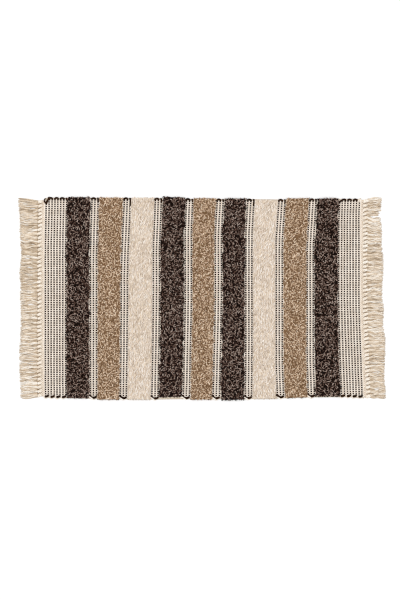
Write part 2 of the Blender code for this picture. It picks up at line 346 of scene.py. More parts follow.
def yarn_material(name, stops, rough=0.92, sheen=0.15, ply=2.0, pitch=5.0, ply_groove_shade=0.30,
                  bump=0.45, mottle=0.10, spec=0.2):
    """A spun yarn: colour by the strand's tone through `stops`, mottled along
    it, darker between the plies as painted shade, with ply and fibre relief."""
    m = bpy.data.materials.new(name)
    m.use_nodes = True
    nt = m.node_tree
    nt.nodes.clear()
    new, link = nt.nodes.new, nt.links.new
    out = new("ShaderNodeOutputMaterial")
    bsdf = new("ShaderNodeBsdfPrincipled")
    link(bsdf.outputs[0], out.inputs[0])
    bsdf.inputs["Roughness"].default_value = rough
    bsdf.inputs["Sheen Weight"].default_value = sheen
    bsdf.inputs["Sheen Roughness"].default_value = 0.6
    bsdf.inputs["Specular IOR Level"].default_value = spec

    tone = new("ShaderNodeAttribute")
    tone.attribute_name = "tone"
    coord = new("ShaderNodeTexCoord")
    big = new("ShaderNodeTexNoise")
    big.inputs["Scale"].default_value = 160.0
    big.inputs["Detail"].default_value = 2.0
    link(coord.outputs["Object"], big.inputs["Vector"])
    # tone + mottle * (noise - 0.5)
    mad = new("ShaderNodeMath")
    mad.operation = "MULTIPLY_ADD"
    link(big.outputs["Fac"], mad.inputs[0])
    mad.inputs[1].default_value = mottle * 2.0
    mad.inputs[2].default_value = -mottle
    add = new("ShaderNodeMath")
    add.operation = "ADD"
    add.use_clamp = True
    link(mad.outputs[0], add.inputs[0])
    link(tone.outputs["Fac"], add.inputs[1])
    ramp = new("ShaderNodeValToRGB")
    ramp.color_ramp.interpolation = "LINEAR"
    els = ramp.color_ramp.elements
    while len(els) > 1:
        els.remove(els[-1])
    els[0].position, els[0].color = stops[0]
    for pos, col in stops[1:]:
        els.new(pos).color = col
    link(add.outputs[0], ramp.inputs[0])

    # the plies wind round the yarn: a wave in the yarn's own map
    uv = new("ShaderNodeUVMap")
    uv.uv_map = "Yarn"
    sep = new("ShaderNodeSeparateXYZ")
    link(uv.outputs[0], sep.inputs[0])
    a = new("ShaderNodeMath")
    a.operation = "MULTIPLY"
    link(sep.outputs[0], a.inputs[0])
    a.inputs[1].default_value = ply * TAU
    b = new("ShaderNodeMath")
    b.operation = "MULTIPLY_ADD"
    link(sep.outputs[1], b.inputs[0])
    b.inputs[1].default_value = TAU / pitch
    link(a.outputs[0], b.inputs[2])
    sine = new("ShaderNodeMath")
    sine.operation = "SINE"
    link(b.outputs[0], sine.inputs[0])
    wave = new("ShaderNodeMapRange")
    wave.inputs["From Min"].default_value = -1.0
    wave.inputs["From Max"].default_value = 0.3
    wave.interpolation_type = "SMOOTHSTEP"
    link(sine.outputs[0], wave.inputs["Value"])

    # painted shade: the base colour is multiplied darker in the grooves between the plies
    shade = new("ShaderNodeMapRange")
    shade.inputs["To Min"].default_value = 1.0 - ply_groove_shade
    shade.inputs["To Max"].default_value = 1.0
    link(wave.outputs[0], shade.inputs["Value"])
    mix = new("ShaderNodeMix")
    mix.data_type = "RGBA"
    mix.blend_type = "MULTIPLY"
    mix.inputs["Factor"].default_value = 1.0
    link(ramp.outputs[0], mix.inputs["A"])
    grey = new("ShaderNodeCombineColor")
    for i in range(3):
        link(shade.outputs[0], grey.inputs[i])
    link(grey.outputs[0], mix.inputs["B"])
    link(mix.outputs["Result"], bsdf.inputs["Base Color"])

    fib = new("ShaderNodeTexNoise")
    fib.inputs["Scale"].default_value = 1800.0
    fib.inputs["Detail"].default_value = 3.0
    link(coord.outputs["Object"], fib.inputs["Vector"])
    height = new("ShaderNodeMath")
    height.operation = "MULTIPLY_ADD"
    link(fib.outputs["Fac"], height.inputs[0])
    height.inputs[1].default_value = 0.5
    link(wave.outputs[0], height.inputs[2])
    bmp = new("ShaderNodeBump")
    bmp.inputs["Strength"].default_value = bump
    bmp.inputs["Distance"].default_value = 0.0004
    link(height.outputs[0], bmp.inputs["Height"])
    link(bmp.outputs[0], bsdf.inputs["Normal"])
    return m


def cloth_material(name, stops, scale=420.0, bump=0.5, weave=True):
    """A close woven or felted surface under the yarns."""
    m = bpy.data.materials.new(name)
    m.use_nodes = True
    nt = m.node_tree
    nt.nodes.clear()
    new, link = nt.nodes.new, nt.links.new
    out = new("ShaderNodeOutputMaterial")
    bsdf = new("ShaderNodeBsdfPrincipled")
    link(bsdf.outputs[0], out.inputs[0])
    bsdf.inputs["Roughness"].default_value = 0.95
    bsdf.inputs["Specular IOR Level"].default_value = 0.15
    coord = new("ShaderNodeTexCoord")
    noise = new("ShaderNodeTexNoise")
    noise.inputs["Scale"].default_value = scale
    noise.inputs["Detail"].default_value = 3.0
    link(coord.outputs["Object"], noise.inputs["Vector"])
    ramp = new("ShaderNodeValToRGB")
    els = ramp.color_ramp.elements
    while len(els) > 1:
        els.remove(els[-1])
    els[0].position, els[0].color = stops[0]
    for pos, col in stops[1:]:
        els.new(pos).color = col
    link(noise.outputs["Fac"], ramp.inputs[0])
    bmp = new("ShaderNodeBump")
    bmp.inputs["Strength"].default_value = bump
    bmp.inputs["Distance"].default_value = 0.0006
    if weave:
        sep = new("ShaderNodeSeparateXYZ")
        link(coord.outputs["Object"], sep.inputs[0])
        waves = []
        for k, per in ((0, 3.6), (1, 2.52)):
            w = new("ShaderNodeMath")
            w.operation = "MULTIPLY"
            link(sep.outputs[k], w.inputs[0])
            w.inputs[1].default_value = math.pi * 1000.0 / per
            s = new("ShaderNodeMath")
            s.operation = "SINE"
            link(w.outputs[0], s.inputs[0])
            waves.append(s)
        prod = new("ShaderNodeMath")
        prod.operation = "MULTIPLY"
        link(waves[0].outputs[0], prod.inputs[0])
        link(waves[1].outputs[0], prod.inputs[1])
        tot = new("ShaderNodeMath")
        tot.operation = "MULTIPLY_ADD"
        link(prod.outputs[0], tot.inputs[0])
        tot.inputs[1].default_value = 0.6
        link(noise.outputs["Fac"], tot.inputs[2])
        link(tot.outputs[0], bmp.inputs["Height"])
        # painted shade: the colour is darkened where the weave's height pattern dips, in its hollows
        weave_shade = new("ShaderNodeMapRange")
        weave_shade.inputs["From Min"].default_value = -1.0
        weave_shade.inputs["To Min"].default_value = 0.80
        link(prod.outputs[0], weave_shade.inputs["Value"])
        mix = new("ShaderNodeMix")
        mix.data_type = "RGBA"
        mix.blend_type = "MULTIPLY"
        mix.inputs["Factor"].default_value = 1.0
        link(ramp.outputs[0], mix.inputs["A"])
        grey = new("ShaderNodeCombineColor")
        for i in range(3):
            link(weave_shade.outputs[0], grey.inputs[i])
        link(grey.outputs[0], mix.inputs["B"])
        link(mix.outputs["Result"], bsdf.inputs["Base Color"])
    else:
        link(noise.outputs["Fac"], bmp.inputs["Height"])
        link(ramp.outputs[0], bsdf.inputs["Base Color"])
    link(bmp.outputs[0], bsdf.inputs["Normal"])
    return m


CREAM = [(0.0, srgb(206, 188, 166)), (0.5, srgb(238, 225, 210)), (1.0, srgb(254, 246, 235))]
# the low stops paint the shade on the ends lying under the knots and tassels
FRINGE = [(0.0, srgb(144, 120, 93)), (0.3, srgb(206, 185, 158)), (0.65, srgb(239, 223, 202)),
          (1.0, srgb(255, 249, 240))]
BLACK = [(0.0, srgb(24, 12, 5)), (1.0, srgb(64, 40, 23))]
# each ramp runs from painted shade for the pile's depths at its low end, through the yarn's own tones, to painted
# highlight for the tufts' tops at its high end
PILE_STOPS = {
    "brown": [(0.0, srgb(18, 6, 2)), (0.3, srgb(46, 25, 17)), (0.6, srgb(102, 78, 67)),
              (0.85, srgb(155, 133, 121)), (1.0, srgb(190, 172, 160))],
    "tan": [(0.0, srgb(103, 75, 50)), (0.3, srgb(156, 125, 95)), (0.6, srgb(205, 175, 145)),
            (0.85, srgb(236, 210, 182)), (1.0, srgb(250, 231, 208))],
    "cream": [(0.0, srgb(190, 170, 148)), (0.3, srgb(223, 207, 190)), (0.6, srgb(245, 233, 220)),
              (1.0, srgb(254, 247, 239))],
}
m_cream = yarn_material("cream_cotton_yarn", CREAM, ply_groove_shade=0.12, pitch=3.0)
m_black = yarn_material("black_cotton_yarn", BLACK, sheen=0.0, ply_groove_shade=0.35, pitch=3.4, spec=0.05)
m_fringe = yarn_material("warp_end_yarn", FRINGE, ply_groove_shade=0.22, pitch=4.0)
m_ground = cloth_material("ground_cloth", [(0.25, srgb(196, 178, 156)), (0.75, srgb(226, 212, 194))])
m_pile = {k: yarn_material(k + "_pile_yarn", v, ply_groove_shade=0.28, pitch=4.5, sheen=0.0,
                           spec=0.08 if k == "brown" else 0.15)
          for k, v in PILE_STOPS.items()}
# the pads under the tufts are coloured in the pile's dark tones, as painted shade in the gaps between the tufts
m_base = {
    "brown": cloth_material("brown_pile_base_painted_shade", [(0.3, srgb(14, 8, 6)), (0.7, srgb(32, 21, 16))],
                            weave=False),
    "tan": cloth_material("tan_pile_base_painted_shade", [(0.3, srgb(98, 71, 46)), (0.7, srgb(140, 110, 80))],
                          weave=False),
    "cream": cloth_material("cream_pile_base_painted_shade", [(0.3, srgb(208, 190, 168)), (0.7, srgb(232, 218, 200))],
                            weave=False),
}


# ----------------------------------------------------------------- flat bands
# the warp is beaten a little closer at the selvedges than in the middle
_v = np.linspace(-1.2, 1.2, 4801)
_y = WARP_MID + WARP_HALF * (_v + 0.020 / math.pi * np.sin(math.pi * _v))


def warp_y(j):
    return np.interp((2.0 * np.asarray(j, float) + 1.0) / WARPS - 1.0, _v, _y)


def warp_j(y):
    return (np.interp(y, _y, _v) + 1.0) * 0.5 * WARPS - 0.5


def band_picks(i):
    """Places of all picks in flat band i, and which of them are black. Picks
    alternate cream and black, and start and end with cream."""
    if i == 0:
        black = -END_FIRST + END_PITCH * np.arange(END_PICKS)
        p = END_PITCH
    elif i == len(BANDS) - 1:
        black = END_FIRST - END_PITCH * np.arange(END_PICKS)[::-1]
        p = END_PITCH
    else:
        black = BANDS[i, 0] + (np.arange(BAND_PICKS) - 1) * BAND_PITCH
        p = BAND_PITCH
    allp = np.concatenate([[black[0] - p / 2], np.stack([black, black + p / 2], 1).ravel()])
    return allp, np.arange(len(allp)) % 2 == 1, p / 2


WEFT_A, WARP_A = 0.80, 0.98        # how far each rises and dips
LOW, HIGH = WARP_MID - WARP_HALF + 0.2, WARP_MID + WARP_HALF - 0.4


def weft_height(y, j_odd):
    """A pick's height: it is on top at every warp end of one parity."""
    s = np.cos(math.pi * warp_j(y))
    return WEFT_A * np.sign(s) * np.abs(s) ** 0.8 * (-1.0 if j_odd else 1.0)


def crossing(x, seed, start, stop, j_odd, lift=0.0, float_over=5.0):
    """One pick from y = start to y = stop. lift raises it out of the weave by
    the far selvedge, where it floats over the last few warp ends."""
    n = int(abs(stop - start) / 0.92) + 1
    y = np.linspace(start, stop, n)
    xx = x + 0.35 * wobble(y, seed, 23.0) + 0.12 * wobble(y, seed + 5, 6.0)
    z = CLOTH_Z + weft_height(y, j_odd)
    if lift:
        f = np.clip((y - HIGH + float_over) / min(4.0, float_over), 0.0, 1.0)
        z = z * (1 - f) + (CLOTH_Z + lift) * f
    return np.stack([xx, y, z], 1)


def spline(points, n):
    """A smooth curve through a few points, n points long."""
    p = np.asarray(points, float)
    d = np.concatenate([[0], np.cumsum(np.linalg.norm(np.diff(p, axis=0), axis=1))])
    m = np.gradient(p, d, axis=0)
    t = np.linspace(0, d[-1], n)
    k = np.clip(np.searchsorted(d, t, side="right") - 1, 0, len(p) - 2)
    h = (d[k + 1] - d[k])[:, None]
    u = ((t - d[k])[:, None]) / h
    return ((2 * u ** 3 - 3 * u ** 2 + 1) * p[k] + (u ** 3 - 2 * u ** 2 + u) * h * m[k]
            + (3 * u ** 2 - 2 * u ** 3) * p[k + 1] + (u ** 3 - u ** 2) * h * m[k + 1])


# how far the last pick of a narrow band floats before it enters the weave
FLOATS = {1: 8.0, 2: 18.0, 3: 9.0, 4: 6.0, 5: 5.0, 6: 13.0, 7: 8.0, 8: 6.0}


def black_yarn(i, xs):
    """The path of a band's black yarn, with its thickness along it."""
    rng = np.random.default_rng(300 + i)
    end = i in (0, len(BANDS) - 1)
    down = end                     # the first pick runs towards the near edge
    z0 = CLOTH_Z
    parts, fat = [], []
    if i == 0:
        # the loose start, which hooks round the corner
        parts.append(spline([(-389.8, 246.9, 3.0), (-391.6, 243.6, 4.2), (-392.2, 240.2, 4.8),
                             (-390.2, 236.6, 4.8), (-387.4, 233.6, 4.6), (-386.6, 234.6, 4.8),
                             (-384.2, 239.6, 5.2), (-380.8, 244.6, 5.0),
                             (xs[1] - 1.4, 246.6, 4.2), (xs[1] + 1.6, 244.4, 3.4)], 56))
        fat.append(np.concatenate([np.linspace(-1.2, -0.7, 14), np.linspace(-0.6, 0.7, 12),
                                   np.full(30, 1.2)]))
        parts.append(spline([(xs[1] - 2.0, 242.4, 2.2), (xs[0] + 2.2, 238.8, 1.4)], 3))
        fat.append(np.full(3, -0.9))
    elif i == len(BANDS) - 1:
        parts.append(spline([(xs[1] + 5.6, HIGH + 2.6, z0 + 1.4), (xs[1] + 3.0, HIGH + 3.4, z0 + 2.6),
                             (xs[1] - 2.0, HIGH + 0.6, z0 + 2.9), (xs[0] - 0.6, HIGH - 4.6, z0 + 2.2),
                             (xs[0] - 0.6, HIGH - 6.5, z0 + 1.2)], 14))
        fat.append(np.linspace(0.3, 0.6, 14))
    elif not end:
        # the start of the yarn, laid slantwise over the near edge and tucked in
        w = rng.uniform(-0.5, 0.5)
        parts.append(spline([(xs[0] - 3.4, -237.0 + w, z0 + 2.9), (xs[0] - 0.8, -239.0 + w, z0 + 3.3),
                             (xs[0] + 2.4, -241.6 + w, z0 + 3.0), (xs[0] + 4.2, -243.4, z0 + 1.9),
                             (xs[0] + 3.4, -244.6, z0 + 0.2), (xs[0] + 0.4, -243.4, z0 - 0.4)], 18))
        fat.append(np.linspace(1.5, 1.0, 18) if i in (2, 7) else np.linspace(-0.5, -0.9, 18))
    for k, x in enumerate(xs):
        if k == 0:
            start, stop = (HIGH - (4.0 if i == 0 else 7.4), LOW) if down else (LOW + 1.5, HIGH)
        else:
            start, stop = (HIGH, LOW) if down else (LOW + 4.4, HIGH)
        if i == len(BANDS) - 1 and k == len(xs) - 1:
            stop = HIGH - 2.6
        last = k == len(xs) - 1
        c = crossing(x, 100 * i + 11 * k, start, stop, False, lift=1.1,
                     float_over=FLOATS.get(i, 5.0) if last else 5.0)
        parts.append(c)
        edge = np.clip((c[:, 1] - HIGH + 5.0) / 5.0, 0, 1)
        fat.append(0.05 * edge)
        if last:
            break
        a = c[-1]
        b = xs[k + 1]
        if down:
            # under the edge and back slantwise over the last warp ends
            w = rng.uniform(-0.5, 0.5)
            parts.append(spline([(a[0] - 0.4, LOW + 1.0, z0 + 0.6),
                                 (a[0] - 0.9, LOW - 0.9 + 0.4 * w, z0 + 1.5),
                                 (a[0] + 1.6, LOW - 0.7 + 0.4 * w, z0 + 2.0),
                                 (a[0] + 0.70 * (b - a[0]), LOW + 1.3 + w, z0 + 2.3),
                                 (b + 0.6, LOW + 3.0, z0 + 1.0)], 12)[1:])
            fat.append(np.array([0.6, 1.1, 1.5, 1.6, 1.6, 1.6, 1.6, 1.5, 1.3, 0.9, 0.3]))
        else:
            w = rng.uniform(-0.6, 0.6)
            m = 0.5 * (a[0] + b) + rng.uniform(-0.6, 0.8)
            parts.append(spline([(a[0], HIGH - 0.6, z0 + 1.3), (a[0] - 0.9, HIGH + 1.3, z0 + 1.8),
                                 (m - 1.4, HIGH + 3.7 + w, z0 + 1.8), (m + 1.2, HIGH + 3.7 + w, z0 + 1.8),
                                 (b + 0.8, HIGH + 1.5, z0 + 1.8), (b, HIGH - 0.6, z0 + 1.3)], 15)[1:-1])
            fat.append(np.array([0.1, 0.5, 0.8, 1.0, 1.1, 1.1, 1.1, 1.1, 1.1, 1.0, 0.8, 0.5, 0.1]))
        down = not down
    if not down and i < len(BANDS) - 1:
        # the last end, turned over the selvedge
        x = xs[-1]
        parts.append(spline([(x, HIGH - 0.4, z0 + 1.2), (x - 0.4, HIGH + 1.6, z0 + 1.9),
                             (x - 0.6, HIGH + 3.6, z0 + 1.6), (x - 0.4, HIGH + 4.3, z0 + 0.2)], 7)[1:])
        fat.append(np.array([0.5, 1.1, 1.4, 1.4, 1.2, 0.7]))
    return np.concatenate(parts), np.concatenate(fat)


def cream_yarn(i, xs):
    end = i in (0, len(BANDS) - 1)
    down = end
    z0 = CLOTH_Z
    parts = []
    rng = np.random.default_rng(350 + i)
    for k, x in enumerate(xs):
        start, stop = (HIGH, LOW) if down else (LOW, HIGH)
        parts.append(crossing(x, 100 * i + 50 + 11 * k, start, stop, True))
        if k == len(xs) - 1:
            break
        a, b = x, xs[k + 1]
        s, y0 = (-1.0, LOW) if down else (1.0, HIGH)
        r = (3.9 if down else 1.9) + rng.uniform(-0.5, 0.5)
        zz = z0 + (1.2 if down else -0.4)
        parts.append(spline([(a, y0, z0), (a + 0.5, y0 + s * 0.7 * r, zz),
                             (0.5 * (a + b), y0 + s * r, zz - 0.3), (b - 0.5, y0 + s * 0.55 * r, zz),
                             (b, y0, z0)], 12)[1:-1])
        down = not down
    return np.concatenate(parts)


def build_band(i):
    allp, black, half = band_picks(i)
    end = i in (0, len(BANDS) - 1)
    # black yarn, one piece for each band
    y = Yarns()
    path, fat = black_yarn(i, allp[black])
    P = lay(path)
    grow = 1.0 + 0.07 * wobble(np.arange(len(P)), 31 + i, 9.0)
    y.add(P, grow * (1.96 + 0.46 * fat), grow * np.maximum(1.26 + 0.40 * fat, 0.80), sides=6,
          tone=0.4 + 0.3 * wobble(np.arange(len(P)), 77 + i, 15.0))
    y.piece("black_weft_%02d_yarn" % (i + 1), m_black, "black_weft_%02d" % (i + 1))

    # cream picks of the band
    y = Yarns()
    P = lay(cream_yarn(i, allp[~black]))
    grow = 1.0 + 0.08 * wobble(np.arange(len(P)), 131 + i, 9.0)
    y.add(P, 1.60 * grow, 1.14 * grow, sides=6,
          tone=0.52 + 0.25 * wobble(np.arange(len(P)), 177 + i, 19.0))
    if not end:
        x, z = allp[black][0], CLOTH_Z
        P = lay(spline([(x - 4.2, -240.6, z + 1.4), (x - 1.0, -243.0, z + 2.2),
                        (x + 2.6, -245.6, z + 2.4), (x + 6.0, -247.8, z + 1.0)], 14))
        y.add(P, 1.45, 1.10, sides=6, tone=0.9)
    y.piece("cream_weft_%02d_yarn" % (i + 1), m_cream)

    # warp ends of the band
    lo, hi = allp[0] - half * 1.6, allp[-1] + half * 1.6
    if i == 0:
        lo = -400.6
    if i == len(BANDS) - 1:
        hi = 400.6
    n = int(round((hi - lo) / half * 3.6)) + 1
    x = np.linspace(lo, hi, n)
    j = np.arange(WARPS)
    sgn = np.where(j % 2 == 0, -1.0, 1.0)[:, None]
    # pick index is even for cream, so a warp of even j dips under black
    phase = np.cos(math.pi * (x - allp[1]) / half)
    prof = np.sign(phase) * np.abs(phase) ** 0.85
    X = np.broadcast_to(x, (WARPS, n))
    yy = warp_y(j)[:, None] + 0.16 * np.stack([wobble(x, 900 + 3 * k + i, 14.0) for k in j])
    Z = CLOTH_Z + WARP_A * prof[None] * sgn
    # where they run on under the pile they lie level in the ground cloth
    edge = np.ones(n)
    if i > 0:
        edge = np.minimum(edge, np.clip((x - lo) / (half * 1.2), 0, 1))
    if i < len(BANDS) - 1:
        edge = np.minimum(edge, np.clip((hi - x) / (half * 1.2), 0, 1))
    Z = Z * edge + (CLOTH_Z + 0.15) * (1 - edge)
    P = lay(np.stack([X, yy, Z], -1))
    y = Yarns()
    # painted highlight and shade: each warp end is coloured lighter where it rises over a pick and darker where it
    # dips under one
    on_top = np.clip((Z - CLOTH_Z) / WARP_A, -1, 1)
    y.add(P, 1.00 + 0.02 * on_top, 0.76, sides=6,
          tone=0.62 + 0.18 * np.random.default_rng(4 + i).uniform(-1, 1, (WARPS, 1))
          + 0.16 * on_top)
    y.piece("warp_ends_%02d" % (i + 1), m_cream)


for i in range(len(BANDS)):
    build_band(i)

# ground cloth under it all
nx, ny = 120, 84
gx = np.linspace(-391.5, 391.5, nx)
gy = np.linspace(-247.2, 247.2, ny)
GX, GY = np.meshgrid(gx, gy, indexing="ij")
G = lay(np.stack([GX, GY, 1.9 - 0.9 * np.clip((np.abs(GY) - 241.0) / 6.0, 0, 1)], -1))
cloth = grid_piece("ground_cloth", G[..., 0], G[..., 1], G[..., 2], m_ground,
                   thick=0.8, node="ground_weave")


# ----------------------------------------------------------------- pile bands
def pile_range(i):
    x0 = -335.4 if i == 0 else BANDS[i, 0] + 10.5
    x1 = 334.9 if i == len(PILES) - 1 else BANDS[i + 1, 0] - 10.5
    return x0, x1


PILE_LOW, PILE_HIGH = -246.8, 248.2
# height of the pad, spacing, length and thickness of the tufts, their tones: light for the upper tufts as painted
# highlight, dark for the lower tufts and the tufts' feet as painted shade
LOOK = {
    "brown": dict(top=6.2, step=3.55, long=(4.8, 9.4), r=0.88, rise=(2.2, 5.2),
                  high=(0.52, 1.05), low=(0.0, 0.30), share=0.68, foot_shade=0.28, lie=0.0, rib=0.0,
                  ragged=1.9, mottle=0.045),
    "tan": dict(top=6.4, step=3.5, long=(4.5, 8.5), r=0.98, rise=(1.8, 4.4),
                high=(0.50, 1.00), low=(0.10, 0.50), share=0.64, foot_shade=0.22, lie=0.0, rib=0.0,
                ragged=0.9, mottle=0.06),
    "cream": dict(top=7.0, step=3.8, long=(6.0, 11.0), r=1.15, rise=(1.4, 3.2),
                  high=(0.30, 0.90), low=(0.10, 0.50), share=0.62, foot_shade=0.12, lie=0.86, rib=0.07,
                  ragged=0.6, mottle=0.10),
}
# how far each pile band stops short at its near and far end
PILE_TRIM = ((1.5, 0.2), (-1.0, -0.9), (0.2, -0.8), (6.0, 2.0), (-0.4, 0.4), (-1.4, 0.5),
             (0.5, -3.5), (1.0, 0.9), (1.8, -0.2))


def pad_height(x, y, x0, x1, y0, y1, top, seed):
    """Top of the pad under the tufts."""
    d = np.minimum(np.minimum(x - x0, x1 - x), np.minimum(y - y0, y1 - y) + 0.8)
    k = np.clip(d / 5.0, 0.0, 1.0)
    dome = np.sqrt(np.clip(1.0 - (1.0 - k) ** 2, 0.0, 1.0))
    bump = 0.6 * wobble2(x, y, seed, 5.0) + 0.45 * wobble2(x, y, seed + 1, 13.0)
    return 2.4 + (top - 2.4) * dome + bump * dome


def ragged(x, y, x0, x1, amount, seed):
    """How far a pile band's long edges stray, fading towards its middle."""
    stray = [wobble(y, seed + k, 12.0) + 0.5 * wobble(y, seed + 5 + k, 4.6) for k in (11, 12)]
    return amount * (np.clip((x0 + 9.0 - x) / 9.0, 0, 1) * stray[0]
                     + np.clip((x - x1 + 9.0) / 9.0, 0, 1) * stray[1])


def build_pile(i, name):
    kind = PILES[i]
    look = LOOK[kind]
    x0, x1 = pile_range(i)
    y0, y1 = PILE_LOW + PILE_TRIM[i][0], PILE_HIGH + PILE_TRIM[i][1]
    top = look["top"]
    seed = 500 + 17 * i
    rng = np.random.default_rng(seed)
    # base pad
    nx, ny = 24, 168
    X, Y = np.meshgrid(np.linspace(x0 + 0.9, x1 - 0.9, nx),
                       np.linspace(y0 + 0.2, y1 - 0.2, ny), indexing="ij")
    Z = pad_height(X, Y, x0, x1, y0, y1, top, seed)
    G = lay(np.stack([X + ragged(X, Y, x0, x1, look["ragged"], seed), Y, Z], -1))
    grid_piece(name + "_base", G[..., 0], G[..., 1], G[..., 2], m_base[kind],
               thick=np.maximum(G[..., 2] - 2.0, 0.3))

    # tufts: short curled yarns that arch up out of the pad
    y = Yarns()
    for layer in (0, 1):
        step = look["step"]
        a = np.arange(x0 + 1.2, x1 - 0.9, step)
        b = np.arange(y0 + 0.3, y1 - 0.2, step)
        cx, cy = np.meshgrid(a, b, indexing="ij")
        cx = (cx + 0.5 * step * ((np.arange(len(b)) + layer) % 2)[None]).ravel()
        cy = (cy + 0.5 * step * layer).ravel()
        n = len(cx)
        cx = cx + rng.uniform(-0.45, 0.45, n) * step
        cy = cy + rng.uniform(-0.45, 0.45, n) * step
        keep = (cx > x0 + 0.6) & (cx < x1 - 0.4) & (cy < y1)
        if layer == 1:
            keep &= rng.uniform(0, 1, n) < look["share"]
        cx, cy = cx[keep], cy[keep]
        n = len(cx)
        R = 7 if layer else 5
        s = np.linspace(0.0, 1.0, R)[None]
        L = rng.uniform(*look["long"], n)[:, None]
        phi = (math.pi * 1.5 * wobble2(cx, cy, seed + 3, 16.0)
               + rng.uniform(-0.9, 0.9, n))[:, None] + (0.0 if layer else 1.3)
        if look["lie"]:
            # this pile lies mostly along the bands
            phi = phi * (1.0 - look["lie"]) + 0.5 * math.pi * look["lie"]
        rise = rng.uniform(*look["rise"], n)[:, None] * (1.0 if layer else 0.6)
        curl = (1.0 - 0.6 * look["lie"]) * rng.uniform(0.10, 0.42, n)[:, None] * rng.choice([-1, 1], n)[:, None] * L
        along = (s - 0.5) * L
        side = curl * (np.sin(math.pi * s) - 0.5)
        px = cx[:, None] + along * np.cos(phi) - side * np.sin(phi)
        py = cy[:, None] + along * np.sin(phi) + side * np.cos(phi)
        # lean outward at the edges, so the band's outline is ragged
        out = (np.clip((x0 + 6.0 - cx) / 6.0, 0, 1) * -1.0
               + np.clip((cx - x1 + 6.0) / 6.0, 0, 1))
        px = px + out[:, None] * rng.uniform(-0.6, 3.0, n)[:, None] * np.sin(math.pi * s)
        inx = np.clip(px, x0 + 0.8, x1 - 0.8)
        iny = np.clip(py, y0 + 0.6, y1 - 0.6)
        py = np.clip(py, y0 - 1.0 - 0.8 * rng.uniform(0, 1, n)[:, None],
                     y1 + 0.6 + 1.4 * rng.uniform(0, 1, n)[:, None])
        ground = pad_height(inx, iny, x0, x1, y0, y1, top, seed)
        arch = np.sin(math.pi * s) ** 0.75
        # by the side edges they lie down over the edge
        over = np.clip((y0 + 5.0 - cy) / 5.0, 0, 1) + np.clip((cy - y1 + 5.0) / 5.0, 0, 1)
        z = ground - 1.9 + (rise + 0.9) * arch
        z = z - over[:, None] * rng.uniform(0.0, 4.5, n)[:, None] * np.sin(0.5 * math.pi * s)
        z = np.clip(z, 2.2, 13.4)
        r = look["r"] * rng.uniform(0.85, 1.15, n)[:, None] * (0.72 + 0.28 * np.sin(math.pi * s))
        # painted highlight and shade: the upper tufts take the light tones, the lower tufts, deeper in the pile,
        # the dark ones
        lo, hi = look["high"] if layer else look["low"]
        peak = rng.uniform(lo, hi, n)[:, None]
        # fine ribs along the cream bands, and painted shade on the flatter ends at the near side, which are
        # coloured darker
        rib = look["rib"] * np.sin(TAU * px / 5.2 + 2.0 * wobble2(px, py, seed + 7, 40.0))
        near_side_shade = 0.16 * np.clip((y0 + 3.0 - cy) / 4.0, 0, 1)[:, None]
        shade = look["mottle"] * wobble2(1.3 * cx, cy, seed + 9, 13.0)[:, None]
        # painted shade: each tuft is coloured darker towards its feet in the pad and lighter along its arch
        tone = np.clip(peak - look["foot_shade"] * (1.0 - arch) + rib - near_side_shade + shade, 0, 1)
        px = px + ragged(cx, cy, x0, x1, look["ragged"], seed)[:, None]
        P = lay(np.stack([px, py, z], -1))
        y.add(P, r, r, sides=5 if layer else 4, tone=tone, turn=True)
    return y.piece(name + "_tufts", m_pile[kind], name)


counts = {}
for i, kind in enumerate(PILES):
    counts[kind] = counts.get(kind, 0) + 1
    build_pile(i, "pile_%s_%d" % (kind, counts[kind]))


# ------------------------------------------------- headings, knots and fringes
TASSELS = 49
T_PITCH = 2.0 * 244.6 / TASSELS
T_MIDS = -0.8 - 244.6 + (np.arange(TASSELS) + 0.5) * T_PITCH


